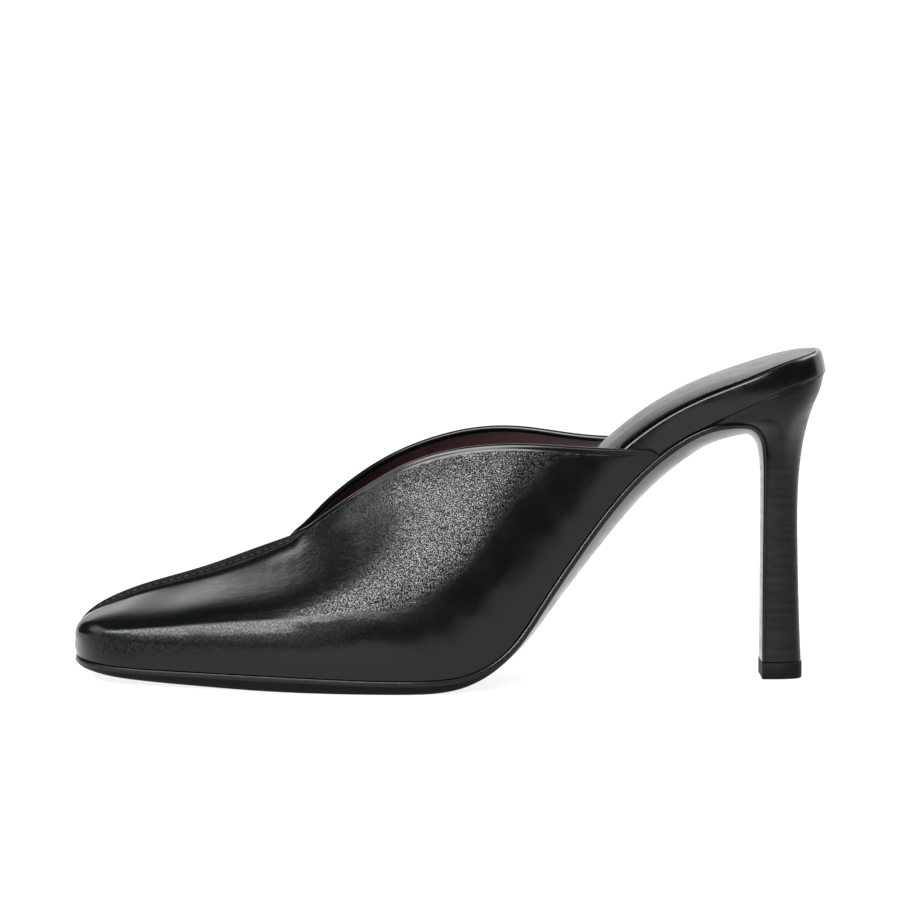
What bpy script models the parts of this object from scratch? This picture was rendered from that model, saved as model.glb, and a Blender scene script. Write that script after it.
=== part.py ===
"""A woman's high-heeled mule for the left foot: closed toe, V throat over a centre seam, open back.

The toe points to -X and the heel to +X. The outer (lateral) side of the foot is at -Y.
The floor is Z = 0, and the origin lies on it under the middle of the shoe's length and width.

The tables describe the standard last in millimetres: "along" is the distance back from the toe tip,
half widths are measured from the centre line, and heights from the floor. The driving dimensions
stretch that last along, across and up.
"""

import math

import bmesh
import bpy
import numpy as np
from mathutils import Matrix, Vector

MM = 0.001

# Driving dimensions, in metres
LENGTH = 226 * MM  # toe tip to the back of the seat, along the floor
BALL_WIDTH = 75.5 * MM  # widest part of the sole
HEEL_HEIGHT = 92.6 * MM  # floor to the underside of the footbed at its back
INSTEP_HEIGHT = 73.4 * MM  # floor to the highest point of the collar
WALL = 1.6 * MM  # leather and lining of the upper

# The standard last that the tables describe, in millimetres
LAST_LENGTH = 226
LAST_BALL_WIDTH = 75.5
LAST_HEEL_HEIGHT = 92.6
LAST_INSTEP_HEIGHT = 73.4

# Fits and ends, in millimetres of the standard last
GAP = 0.3  # play between pieces that meet
TIP_START = 0.05  # where the first section at a rounded end is taken
TOE_ROUND = 16  # length over which the outline is rounded off at the toe
SEAT_ROUND = 25  # and at the back of the seat
END_POWER = 2.3  # superellipse power of both ends: 2 is round, more is squarer
UPPER_INSET = 0.4  # upper's bottom edge inside the sole's edge
UPPER_REAR = 175  # where the upper runs out on the feather line
THROAT = 76  # feather-line station of the rib that ends at the throat
WING = 180  # where the sole leaves the footbed and turns down the heel breast

# Half widths of the outline before its two ends are rounded off
OUTLINE = (
    ("along", "lateral", "medial"),
    (0, 17.0, 16.0),
    (12, 20.6, 18.9),
    (35, 28.0, 26.0),
    (60, 35.4, 32.6),
    (82, 39.8, 35.2),
    (98, 41.0, 34.2),
    (113, 38.9, 30.8),
    (131, 33.2, 24.6),
    (148, 27.6, 20.2),
    (165, 23.8, 19.2),
    (180, 23.2, 21.0),
    (196, 24.6, 24.2),
    (212, 25.2, 25.2),
    (226, 25.2, 25.2),
)

# The feather line, where upper and footbed sit on the sole; behind the wing it is the seat.
# "edge" is the sole's thickness at its edge and "belly" what the middle adds to it.
FEATHER = (
    ("along", "height", "edge", "belly"),
    (0, 6.9, 2.5, 0.0),
    (12, 5.75, 3.1, 0.2),
    (35, 5.15, 4.0, 0.4),
    (60, 4.85, 4.5, 0.5),
    (85, 4.35, 4.15, 0.5),
    (100, 4.1, 3.9, 0.5),
    (110, 4.3, 3.8, 0.5),
    (117, 5.2, 3.3, 0.6),
    (124, 7.8, 2.5, 1.4),
    (131, 13.2, 1.9, 2.6),
    (139, 24.0, 1.7, 3.7),
    (149, 38.6, 1.7, 4.6),
    (160, 53.3, 1.7, 5.2),
    (170, 64.3, 1.7, 5.5),
    (180, 72.4, 1.7, 5.5),
    (190, 78.3, 1.7, 5.2),
    (205, 85.2, 1.7, 4.8),
    (216, 89.9, 1.7, 4.8),
    (226, 92.6, 1.7, 4.8),
)

# The sole's way down the heel breast, after the wing
BREAST = (
    ("along", "height", "half_width", "edge", "belly"),
    (187.3, 76.3, 22.8, 1.6, 5.1),
    (193.0, 77.9, 22.0, 1.6, 4.6),
    (198.8, 78.1, 20.0, 1.5, 3.6),
    (203.6, 76.8, 16.2, 1.3, 2.5),
    (206.3, 73.8, 12.6, 1.2, 1.5),
    (207.5, 69.0, 9.8, 1.1, 0.7),
    (207.9, 60.0, 7.8, 1.0, 0.4),
    (207.9, 35.0, 6.8, 1.0, 0.3),
    (207.9, 5.3, 7.2, 1.0, 0.2),
)

# The wrapped board that the foot stands on, and the padded sock glued to its top
FOOTBED = (
    ("along", "board", "inset", "pad"),
    (0, 2.4, 2.4, 1.2),
    (60, 2.5, 2.4, 1.5),
    (100, 3.0, 2.4, 1.6),
    (117, 4.4, 2.4, 1.6),
    (131, 6.6, 2.4, 1.6),
    (149, 8.9, 2.4, 2.2),
    (160, 9.2, 2.4, 3.2),
    (170, 8.5, 2.4, 3.6),
    (180, 8.0, 1.7, 3.5),
    (190, 7.7, 0.5, 3.0),
    (205, 7.1, 0.3, 2.0),
    (216, 6.8, 0.3, 0.9),
    (226, 6.6, 0.3, 0.4),
)
PAD_INSET = 1.5  # how far the sock stays inside the board's top edge
PAD_EDGE = 0.4  # share of the sock's thickness that is left at its edge

# The centre seam, from the toe up to the throat: each rib's "foot" on the feather line, its top, and
# how high the two panels' joined edges stand up there
SEAM = (
    ("foot", "along", "height", "ridge"),
    (0, 1.5, 14.2, 0.0),
    (2.2, 3.1, 16.9, 1.1),
    (8, 8.2, 21.1, 1.4),
    (22, 22.0, 27.0, 1.6),
    (42, 40.0, 31.8, 2.1),
    (60, 53.5, 36.3, 2.4),
    (76, 65.2, 41.6, 1.4),
)
RIDGE_HALF = 1.5  # half width of that ridge at its foot
RIDGE_TOP = 0.55  # share of that half width over which it keeps its full height
RIDGE_END = 0.69  # rib place behind the throat where it has run out
SOFT_STEPS = (-0.09, -0.0675, -0.045, -0.0225, 0, 0.0225, 0.045, 0.0675, 0.09)  # ribs that are averaged
SOFT_SPREAD = 0.045  # and how fast their weight falls off
SOFT_REACH = (0.12, 0.24)  # how far from the throat ribs are averaged fully, and where that ends
SOFT_FOOT = 0.35  # place up a rib below which it is less and less averaged
SOFT_TOP = 0.86  # and above which it is

# The collar from the throat back, on each side
LATERAL_COLLAR = (
    ("foot", "along", "out", "height"),
    (76, 65.2, 0.0, 41.6),
    (87, 76.5, 9.9, 50.9),
    (98, 89.0, 17.4, 59.8),
    (112, 103.5, 23.4, 67.6),
    (126, 118.5, 26.2, 71.4),
    (142, 135.5, 26.6, 72.2),
    (158, 153.5, 25.2, 71.0),
    (175, 173.0, 23.5, 70.1),
)
MEDIAL_COLLAR = (
    ("foot", "along", "out", "height"),
    (76, 65.2, 0.0, 41.6),
    (87, 75.5, 8.6, 52.6),
    (98, 88.5, 15.8, 62.0),
    (112, 103.5, 20.6, 68.9),
    (126, 118.5, 22.8, 72.7),
    (142, 135.5, 23.0, 73.2),
    (158, 153.5, 21.8, 70.9),
    (175, 173.0, 21.0, 70.1),
)

# How each rib leaves its foot (rise up, lean out) and reaches its top (reach out, drop in degrees)
LATERAL_RIBS = (
    ("foot", "rise", "lean", "reach", "drop"),
    (0, 3.2, 2.2, 2.2, 60),
    (2.2, 6.0, 1.6, 6.5, 28),
    (8, 9.8, 2.8, 17.0, 9),
    (22, 14.9, 3.4, 23.2, 20),
    (42, 20.3, 3.3, 24.0, 25),
    (60, 24.3, 3.0, 25.7, 26.5),
    (76, 29.9, 2.1, 27.9, 38),
    (87, 32.4, 1.8, 30.9, 42),
    (98, 32.8, 2.2, 29.7, 50),
    (112, 30.7, 2.7, 26.8, 66),
    (126, 22.0, 3.0, 22.0, 69),
    (142, 14.0, 2.2, 14.0, 78),
    (158, 7.0, 1.0, 7.0, 84),
    (175, 0.9, 0.1, 0.9, 88),
)
MEDIAL_RIBS = (
    ("foot", "rise", "lean", "reach", "drop"),
    (0, 3.2, 2.2, 2.2, 60),
    (2.2, 6.0, 1.6, 6.5, 28),
    (8, 9.8, 2.8, 16.0, 9),
    (22, 14.9, 3.4, 21.3, 20),
    (42, 20.3, 3.3, 22.0, 25),
    (60, 24.3, 3.0, 23.6, 25.5),
    (76, 29.5, 2.1, 25.4, 37),
    (87, 31.5, 1.8, 27.8, 41),
    (98, 31.0, 2.2, 26.4, 50),
    (112, 28.5, 2.7, 23.4, 68),
    (126, 21.0, 2.8, 21.5, 77),
    (142, 14.0, 2.0, 14.0, 86),
    (158, 7.0, 1.0, 7.0, 88),
    (175, 0.9, 0.1, 0.9, 88),
)

# The heel's sections: how far the front edge lies down the breast, the back edge, and its roundness
HEEL = (
    ("breast", "back", "back_height", "middle_half", "power"),
    (0, 225.2, 92.2, 25.4, 2.7),
    (5, 224.9, 91.0, 25.1, 2.7),
    (10, 224.4, 89.4, 24.2, 2.7),
    (15, 223.6, 87.0, 22.4, 2.7),
    (19, 222.4, 84.2, 19.4, 2.8),
    (24, 220.9, 79.8, 15.0, 3.0),
    (30, 219.5, 74.0, 11.3, 3.2),
    (38, 218.3, 66.0, 8.7, 3.4),
    (48, 217.6, 54.5, 7.4, 3.5),
    (62, 217.8, 36.0, 6.9, 3.5),
    (76, 218.3, 19.0, 7.1, 3.5),
    (88, 218.9, 5.3, 7.4, 3.5),
)
HEEL_TIP = 189.5  # where the heel's wings end under the footbed
HEEL_SEAT = 12  # how far down the breast the heel's top still follows the footbed
HEEL_WINGS = 0.15  # share of a section's depth over which it comes to follow it
ROUND_LEFT = 0.0004  # keeps the back of a section from closing to a point
LIFT_HEIGHT = 5.0
LIFT_FRONT = 206.8
LIFT_BACK = 219.2
LIFT_HALF = 7.6

# Mesh fineness
UPPER_RIBS = 40
RIB_STEPS = (0, 0.1, 0.21, 0.32, 0.43, 0.54, 0.65, 0.76, 0.87, 1)  # shares of a rib below its rim
RIM_STEPS = (2.5, 1.5, 1.1, 0.75, 0)  # distances from the seam or collar
STRIP_STEPS = 8
SOLE_SECTIONS = 46
BOARD_SECTIONS = 30
HEEL_SECTIONS = 26
HEEL_CROWDING = 1.25  # power that packs the heel's sections toward its top
HEEL_STEPS = 8
NORMAL_STEPS = (0.01, 0.02)  # steps along and up a rib that a surface normal is taken over

MATERIALS = {
    "upper": ("black_calf", (0.012, 0.012, 0.013, 1), 0.32),
    "outsole": ("black_sole", (0.010, 0.010, 0.011, 1), 0.25),
    "insole": ("black_wrap", (0.013, 0.013, 0.014, 1), 0.35),
    "sock": ("black_sock", (0.010, 0.010, 0.011, 1), 0.28),
    "heel": ("stacked_heel", (0.016, 0.015, 0.014, 1), 0.4),
    "top_lift": ("rubber_lift", (0.008, 0.008, 0.008, 1), 0.6),
}


def spline(knots, values):
    """A natural cubic spline through the points, as a function."""
    knots, values = np.array(knots, float), np.array(values, float)
    spans = np.diff(knots)
    slopes = np.diff(values) / spans
    matrix, target = np.eye(len(knots)), np.zeros(len(knots))
    for i in range(1, len(knots) - 1):
        matrix[i, i - 1 : i + 2] = spans[i - 1], 2 * (spans[i - 1] + spans[i]), spans[i]
        target[i] = 6 * (slopes[i] - slopes[i - 1])
    bends = np.linalg.solve(matrix, target)

    def value(x):
        i = min(max(int(np.searchsorted(knots, x)) - 1, 0), len(spans) - 1)
        b = (x - knots[i]) / spans[i]
        a = 1 - b
        curve = (a**3 - a) * bends[i] + (b**3 - b) * bends[i + 1]
        return float(a * values[i] + b * values[i + 1] + curve * spans[i] ** 2 / 6)

    return value


def read(table, key=lambda first: first):
    """Splines for a table's columns over its first one, which key may re-space."""
    names, rows = table[0], table[1:]
    knots = [key(row[0]) for row in rows]
    return {name: spline(knots, [row[i] for row in rows]) for i, name in enumerate(names) if i}


def rib_place(foot):
    """0 at the toe and 1 at the upper's rear, spaced so that ribs crowd round the toe."""
    return math.sqrt(foot / UPPER_REAR)


outline = read(OUTLINE)
feather = read(FEATHER)
footbed = read(FOOTBED)
seam = read(SEAM, rib_place)
collars = {"lateral": read(LATERAL_COLLAR, rib_place), "medial": read(MEDIAL_COLLAR, rib_place)}
ribs = {"lateral": read(LATERAL_RIBS, rib_place), "medial": read(MEDIAL_RIBS, rib_place)}
heel_sections = read(HEEL)
SIGN = {"lateral": -1, "medial": 1}


def smooth_step(low, high, x):
    share = min(max((x - low) / (high - low), 0), 1)
    return share * share * (3 - 2 * share)


def end_round(depth):
    """Width share left at this depth into a rounded end: 1 where the end begins, 0 at its tip."""
    return max(1 - depth**END_POWER, 0) ** (1 / END_POWER)


def half_width(side, along):
    """Half width of the last's outline on one side."""
    width = outline[side](along)
    if along < TOE_ROUND:
        width *= end_round(1 - along / TOE_ROUND)
    if along > LAST_LENGTH - SEAT_ROUND:
        width *= end_round(min((along - LAST_LENGTH + SEAT_ROUND) / SEAT_ROUND, 1))
    return width


def feather_frame(along):
    """A point of the feather line in the XZ plane, and the normal that points up to the foot."""
    slope = (feather["height"](along + 0.1) - feather["height"](along - 0.1)) / 0.2
    return Vector((along, 0, feather["height"](along))), Vector((-slope, 0, 1)).normalized()


def place(point):
    """From millimetres of the standard last to this shoe's metres."""
    return Vector(
        (
            (point.x - LAST_LENGTH / 2) * LENGTH / LAST_LENGTH,
            point.y * BALL_WIDTH / LAST_BALL_WIDTH,
            point.z * HEEL_HEIGHT / LAST_HEEL_HEIGHT,
        )
    )


def round_end_stations(first, last, toe, seat, steps, end_steps=7):
    """Stations from first to last, crowded into the rounded toe and seat where those ends are there."""
    stations = []
    inner_first, inner_last = first, last
    if toe:
        inner_first = first + TOE_ROUND
        turns = [math.pi / 2 * i / end_steps for i in range(end_steps)]
        stations += [max(inner_first - TOE_ROUND * math.cos(turn), first + TIP_START) for turn in turns]
    if seat:
        inner_last = last - SEAT_ROUND
    stations += [inner_first + (inner_last - inner_first) * i / steps for i in range(steps + 1)]
    if seat:
        turns = [math.pi / 2 * (i + 1) / end_steps for i in range(end_steps)]
        stations += [min(inner_last + SEAT_ROUND * math.sin(turn), last - TIP_START) for turn in turns]
    return stations


def loft(name, rings):
    """A closed solid through rings of equal count, with its first and last ring filled across.

    Each ring runs along its lower side from -Y to +Y and comes back along its upper side.
    """
    mesh = bmesh.new()
    loops = [[mesh.verts.new(place(point)) for point in ring] for ring in rings]
    count = len(loops[0])
    for near, far in zip(loops, loops[1:]):
        for i in range(count):
            j = (i + 1) % count
            mesh.faces.new((near[i], near[j], far[j], far[i]))
    for loop in (loops[0], loops[-1]):
        for i in range(count // 2 - 1):
            mesh.faces.new((loop[i], loop[i + 1], loop[-2 - i], loop[-1 - i]))
    bmesh.ops.recalc_face_normals(mesh, faces=mesh.faces)
    return finish(name, mesh)


def finish(name, mesh):
    """An object from the bmesh, smooth but for its arrises, with its own material."""
    data = bpy.data.meshes.new(name)
    mesh.to_mesh(data)
    mesh.free()
    data.shade_smooth()
    data.set_sharp_from_angle(angle=math.radians(40))
    title, colour, roughness = MATERIALS[name]
    material = bpy.data.materials.new(title)
    material.use_nodes = True
    shader = material.node_tree.nodes["Principled BSDF"]
    shader.inputs["Base Color"].default_value = colour
    shader.inputs["Roughness"].default_value = roughness
    shader.inputs["Metallic"].default_value = 0
    data.materials.append(material)
    piece = bpy.data.objects.new(name, data)
    shoe.objects.link(piece)
    return piece


def strip_ring(spine, normal, halves, low, high):
    """One section across a strip: low and high give its thickness below and above the spine.

    halves are the lateral and medial half widths; low and high take a place from -1 to 1 across.
    """
    lower, upper = [], []
    for i in range(STRIP_STEPS + 1):
        across = math.sin(math.pi / 2 * (2 * i / STRIP_STEPS - 1))
        side = Vector((0, across * (halves[0] if across < 0 else halves[1]), 0))
        lower.append(spine + side + normal * low(across))
        upper.append(spine + side + normal * high(across))
    return lower + upper[::-1]


def sole_path():
    """Splines of the outsole's upper face over the distance along it, toe to top lift.

    Also gives that distance at the first breast row and at the end.
    """
    rows = [
        (along, height, outline["lateral"](along), outline["medial"](along), edge, belly)
        for along, height, edge, belly in FEATHER[1:]
        if along <= WING
    ]
    wing = len(rows) - 1
    rows += [(along, height, half, half, edge, belly) for along, height, half, edge, belly in BREAST[1:]]
    runs = [0.0]
    for before, after in zip(rows, rows[1:]):
        runs.append(runs[-1] + math.hypot(after[0] - before[0], after[1] - before[1]))
    names = ("along", "height", "lateral", "medial", "edge", "belly")
    path = {name: spline(runs, [row[i] for row in rows]) for i, name in enumerate(names)}
    return path, runs[wing], runs[-1]


def path_frame(path, run):
    """A point of the sole's upper face, and the normal that points away from the floor side."""
    point, ahead = (
        Vector((path["along"](at), 0, path["height"](at))) for at in (run - 0.05, run + 0.05)
    )
    tangent = (ahead - point).normalized()
    return (point + ahead) / 2, Vector((-tangent.z, 0, tangent.x))


def make_outsole(path, wing, end):
    """The sole: flat tread at the ball, crowned waist, and a thin flap down the heel breast."""
    rings = []
    for run in round_end_stations(0, end, True, False, SOLE_SECTIONS):
        spine, normal = path_frame(path, run)
        halves = [half_width(side, spine.x) if run < wing else path[side](run) for side in SIGN]
        edge, belly = path["edge"](run), path["belly"](run)
        ring = strip_ring(
            spine, normal, halves, lambda across: -edge - belly * (1 - across**2), lambda across: 0
        )
        for point in ring:
            point.z = max(point.z, 0)
        rings.append(ring)
    return loft("outsole", rings)


def make_insole():
    """The footbed board, from inside the toe to the back of the seat, where it shows its full edge."""
    rings = []
    tip = footbed["inset"](0)
    for along in round_end_stations(tip, LAST_LENGTH - GAP, True, True, BOARD_SECTIONS):
        spine, normal = feather_frame(along)
        board, inset = footbed["board"](along), footbed["inset"](along)
        halves = board_halves(along, inset)
        rings.append(strip_ring(spine, normal, halves, lambda across: GAP, lambda across: GAP + board))
    return loft("insole", rings)


def board_halves(along, inset):
    """Half widths of a piece that lies inset from the last's outline, rounded at its own two ends."""
    toe_shift = inset * (1 - smooth_step(0, TOE_ROUND * 2, along))
    seat_shift = inset * smooth_step(LAST_LENGTH - SEAT_ROUND * 2, LAST_LENGTH, along)
    shifted = along - toe_shift + seat_shift
    return [max(half_width(side, shifted) - inset, 0.3) for side in ("lateral", "medial")]


def make_sock():
    """The padded sock on the footbed, thicker in its middle."""
    rings = []
    tip, back = footbed["inset"](0) + PAD_INSET, LAST_LENGTH - GAP - PAD_INSET
    for along in round_end_stations(tip, back, True, True, BOARD_SECTIONS):
        spine, normal = feather_frame(along)
        pad = footbed["pad"](along)
        floor = footbed["board"](along) + 2 * GAP
        halves = board_halves(along, footbed["inset"](along) + PAD_INSET)
        rings.append(
            strip_ring(
                spine,
                normal,
                halves,
                lambda across: floor,
                lambda across: floor + pad * (PAD_EDGE + (1 - PAD_EDGE) * (1 - across**2)),
            )
        )
    return loft("sock", rings)


def make_heel(path, wing, end):
    """The heel: a seat as wide as the footbed, drawn in to a slim stem behind the sole's flap."""
    tip = wing + (HEEL_TIP - WING) / (path["along"](wing + 1) - path["along"](wing))
    last_row = HEEL[-1][0]
    rings = []
    for i in range(HEEL_SECTIONS + 1):
        breast = last_row * (i / HEEL_SECTIONS) ** HEEL_CROWDING
        run = tip + (end - tip) * breast / last_row
        spine, normal = path_frame(path, run)
        front = spine + normal * GAP
        back = Vector((heel_sections["back"](breast), 0, heel_sections["back_height"](breast)))
        front_half = (path["lateral"](run) + path["medial"](run)) / 2
        middle_half, power = heel_sections["middle_half"](breast), heel_sections["power"](breast)
        seat = 1 - smooth_step(0, HEEL_SEAT, breast)
        lateral, medial = [], []
        for j in range(HEEL_STEPS + 1):
            depth = math.sin(math.pi / 2 * j / HEEL_STEPS)
            point = front.lerp(back, depth)
            under_board = feather["height"](point.x) - GAP
            point.z += seat * (under_board - point.z) * smooth_step(0, HEEL_WINGS, depth)
            half = front_half + (middle_half - front_half) * math.sin(math.pi * min(depth, 0.5))
            half *= max(1 - depth**power, ROUND_LEFT) ** (1 / power)
            lateral.append(point - Vector((0, half, 0)))
            medial.append(point + Vector((0, half, 0)))
        rings.append(lateral + medial[::-1])
    return loft("heel", rings)


def make_top_lift():
    """The replaceable rubber lift under the heel, as long as heel and flap together."""
    rings, power = [], HEEL[-1][4]
    for height in (0, LIFT_HEIGHT):
        lateral, medial = [], []
        for j in range(HEEL_STEPS + 1):
            depth = math.sin(math.pi / 2 * j / HEEL_STEPS)
            half = LIFT_HALF * max(1 - depth**power, ROUND_LEFT) ** (1 / power)
            spot = Vector((LIFT_FRONT + (LIFT_BACK - LIFT_FRONT) * depth, 0, height))
            lateral.append(spot - Vector((0, half, 0)))
            medial.append(spot + Vector((0, half, 0)))
        rings.append(lateral + medial[::-1])
    return loft("top_lift", rings)


def rib_top(side, t):
    """Where a rib ends: on the seam before the throat, on the collar behind it."""
    if t <= rib_place(THROAT):
        top = Vector((seam["along"](t), 0, seam["height"](t)))
    else:
        collar = collars[side]
        top = Vector((collar["along"](t), SIGN[side] * collar["out"](t), collar["height"](t)))
    top.z *= (INSTEP_HEIGHT / LAST_INSTEP_HEIGHT) / (HEEL_HEIGHT / LAST_HEEL_HEIGHT)
    return top


def rib_handles(side, t):
    """The four control points of a rib of the upper, foot to top."""
    foot_along = UPPER_REAR * t * t
    spine, normal = feather_frame(foot_along)
    step = 0.001
    spread = (half_width(side, foot_along + step) - half_width(side, max(foot_along - step, 0))) / (
        foot_along + step - max(foot_along - step, 0)
    )
    out = Vector((-spread, SIGN[side], 0)).normalized() if t else Vector((-1, 0, 0))
    foot = spine + Vector((0, SIGN[side] * half_width(side, foot_along), 0))
    foot += normal * GAP - out * UPPER_INSET
    top = rib_top(side, t)
    up = Vector((top.x - foot.x, 0, top.z - foot.z)).normalized()
    shape = {name: ribs[side][name](t) for name in ("rise", "lean", "reach", "drop")}
    drop = math.radians(shape["drop"])
    first = foot + up * shape["rise"] + out * shape["lean"]
    last = top + (out * math.cos(drop) - up * math.sin(drop)) * shape["reach"]
    return foot, first, last, top


def plain_rib_point(side, t, v):
    """A rib's own curve: v runs from 0 at the feather line to 1 at the seam or collar."""
    foot, first, last, top = rib_handles(side, t)
    u = 1 - v
    return u**3 * foot + 3 * u * u * v * first + 3 * u * v * v * last + v**3 * top


def rib_point(side, t, v):
    """The last's surface: the ribs, with the throat's corner smoothed out between foot and top."""
    point = plain_rib_point(side, t, v)
    beside = 1 - smooth_step(*SOFT_REACH, abs(t - rib_place(THROAT)))
    share = beside * smooth_step(0, SOFT_FOOT, v) * (1 - smooth_step(SOFT_TOP, 1, v))
    if share == 0:
        return point
    weights = [math.exp(-((step / SOFT_SPREAD) ** 2) / 2) for step in SOFT_STEPS]
    mean = Vector((0, 0, 0))
    for step, weight in zip(SOFT_STEPS, weights):
        mean += plain_rib_point(side, t + step, v) * weight / sum(weights)
    return point.lerp(mean, share)


def rib_places(side, t):
    """Where the mesh samples a rib: even shares of its length, then the steps close to its top."""
    run = 3 * ribs[side]["reach"](t)
    rim = max(1 - RIM_STEPS[0] / run, 0.5)
    return [rim * share for share in RIB_STEPS] + [
        1 - (1 - rim) * step / RIM_STEPS[0] for step in RIM_STEPS[1:]
    ]


def rib_normal(side, t, v):
    """The last surface's outward normal, which lies in the XZ plane where both sides meet."""
    along_step, up_step = NORMAL_STEPS
    across = rib_point(side, t, min(v + up_step, 1)) - rib_point(side, t, max(v - up_step, 0))
    if t == 0:
        return Vector((-across.z, 0, across.x)).normalized()
    if v == 1 and t <= rib_place(THROAT):
        return ridge_up(side, t)
    along = rib_point(side, t + along_step, v) - rib_point(side, t - along_step, v)
    return (across.cross(along) * SIGN[side]).normalized()


def ridge_up(side, t):
    """The direction in the XZ plane in which the seam's ridge stands up."""
    ahead = rib_top(side, t) - rib_top(side, t - NORMAL_STEPS[0])
    return Vector((-ahead.z, 0, ahead.x)).normalized()


def upper_point(side, t, v):
    """The upper's outer face: the last surface, with the ridge of the raised seam on it."""
    point = rib_point(side, t, v)
    share = (rib_top(side, t) - point).length / RIDGE_HALF
    throat = rib_place(THROAT)
    height = seam["ridge"](min(t, throat)) * (1 - smooth_step(throat, RIDGE_END, t))
    up = ridge_up(side, max(t, NORMAL_STEPS[0]))
    return point + up * height * (1 - smooth_step(RIDGE_TOP, 1, share))


def make_upper():
    """Both halves' outer and lining faces, joined at seam and toe and closed at every edge."""
    throat = rib_place(THROAT)
    front_ribs = round(UPPER_RIBS * throat)
    rear_ribs = UPPER_RIBS - front_ribs
    places = [throat * i / front_ribs for i in range(front_ribs)]
    places += [throat + (1 - throat) * i / rear_ribs for i in range(rear_ribs + 1)]
    wall = WALL / MM
    mesh = bmesh.new()
    for side in SIGN:
        spots = [[(t, v) for v in rib_places(side, t)] for t in places]
        outer = [[mesh.verts.new(place(upper_point(side, t, v))) for t, v in row] for row in spots]
        inner = [
            [
                mesh.verts.new(place(rib_point(side, t, v) - rib_normal(side, t, v) * wall))
                for t, v in row
            ]
            for row in spots
        ]
        for grid in (outer, inner):
            for near, far in zip(grid, grid[1:]):
                for j in range(len(near) - 1):
                    mesh.faces.new((near[j], far[j], far[j + 1], near[j + 1]))
        bottom = [(row[0], lining[0]) for row, lining in zip(outer, inner)]
        rear = list(zip(outer[-1], inner[-1]))
        collar = [(row[-1], lining[-1]) for row, lining in zip(outer, inner)][front_ribs:]
        for rim in (bottom, rear, collar):
            for (start, start_lining), (end, end_lining) in zip(rim, rim[1:]):
                mesh.faces.new((start, end, end_lining, start_lining))
    bmesh.ops.remove_doubles(mesh, verts=mesh.verts, dist=0.001 * MM)
    bmesh.ops.recalc_face_normals(mesh, faces=mesh.faces)
    return finish("upper", mesh)


def stand_on_origin(pieces):
    """Moves every mesh so that the origin lies on the floor under the middle of the shoe."""
    bpy.context.view_layer.update()
    graph = bpy.context.evaluated_depsgraph_get()
    corners = [Vector(corner) for piece in pieces for corner in piece.evaluated_get(graph).bound_box]
    low = Vector([min(corner[i] for corner in corners) for i in range(3)])
    high = Vector([max(corner[i] for corner in corners) for i in range(3)])
    shift = Matrix.Translation((-(low.x + high.x) / 2, -(low.y + high.y) / 2, -low.z))
    for piece in pieces:
        piece.data.transform(shift)


for old in list(bpy.data.objects):
    bpy.data.objects.remove(old, do_unlink=True)
shoe = bpy.data.collections.new("mule")
bpy.context.scene.collection.children.link(shoe)

sole, sole_wing, sole_end = sole_path()
stand_on_origin(
    [
        make_upper(),
        make_insole(),
        make_sock(),
        make_outsole(sole, sole_wing, sole_end),
        make_heel(sole, sole_wing, sole_end),
        make_top_lift(),
    ]
)
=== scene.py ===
# %% [markdown]
# # A high-heeled mule in black calf
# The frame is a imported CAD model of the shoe: upper, footbed board, sock, sole, heel and top lift.
# Each of them is built again here with finer edges, seams and leather, in the very same place.
# The toe points to -X, the heel to +X, and the outer (lateral) side of the left foot is at -Y.

# %% Load the frame
import math

import bmesh
import bpy
import numpy as np
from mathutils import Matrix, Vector


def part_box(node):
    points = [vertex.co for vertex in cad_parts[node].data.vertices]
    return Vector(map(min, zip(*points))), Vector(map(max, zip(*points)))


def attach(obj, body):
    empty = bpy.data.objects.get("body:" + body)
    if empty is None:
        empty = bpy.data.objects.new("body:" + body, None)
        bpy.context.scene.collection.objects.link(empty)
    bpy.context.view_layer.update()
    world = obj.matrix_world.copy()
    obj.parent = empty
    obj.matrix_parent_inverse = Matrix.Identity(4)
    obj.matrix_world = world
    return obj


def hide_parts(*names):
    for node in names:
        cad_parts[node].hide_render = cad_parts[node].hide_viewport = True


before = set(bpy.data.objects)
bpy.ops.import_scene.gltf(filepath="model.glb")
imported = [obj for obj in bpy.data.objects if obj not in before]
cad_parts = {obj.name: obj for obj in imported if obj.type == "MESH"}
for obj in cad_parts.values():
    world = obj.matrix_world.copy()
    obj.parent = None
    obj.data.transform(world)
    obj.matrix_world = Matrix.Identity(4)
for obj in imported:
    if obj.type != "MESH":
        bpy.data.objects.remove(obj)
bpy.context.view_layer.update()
MM = 0.001
SIGN = {"lateral": -1, "medial": 1}

# %% [markdown]
# ## The last, as tables
# A shoe takes its shape from the last it is pulled over. The last is written down here the way a
# last maker would: stations "along" from the toe, half widths from the centre line, heights from the
# floor, all in millimetres. A natural cubic spline through each column gives the curve between.

# %% Curves through a table
def spline(knots, values):
    """A natural cubic spline through the points, for one place or an array of them."""
    knots, values = np.array(knots, float), np.array(values, float)
    spans = np.diff(knots)
    slopes = np.diff(values) / spans
    matrix, target = np.eye(len(knots)), np.zeros(len(knots))
    for i in range(1, len(knots) - 1):
        matrix[i, i - 1 : i + 2] = spans[i - 1], 2 * (spans[i - 1] + spans[i]), spans[i]
        target[i] = 6 * (slopes[i] - slopes[i - 1])
    bends = np.linalg.solve(matrix, target)

    def value(x):
        i = np.clip(np.searchsorted(knots, x) - 1, 0, len(spans) - 1)
        b = (x - knots[i]) / spans[i]
        a = 1 - b
        curve = (a**3 - a) * bends[i] + (b**3 - b) * bends[i + 1]
        return a * values[i] + b * values[i + 1] + curve * spans[i] ** 2 / 6

    return value


def read(table, key=lambda first: first):
    """Splines for a table's columns over its first one, which key may re-space."""
    names, rows = table[0], table[1:]
    knots = [key(row[0]) for row in rows]
    return {name: spline(knots, [row[i] for row in rows]) for i, name in enumerate(names) if i}


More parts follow.
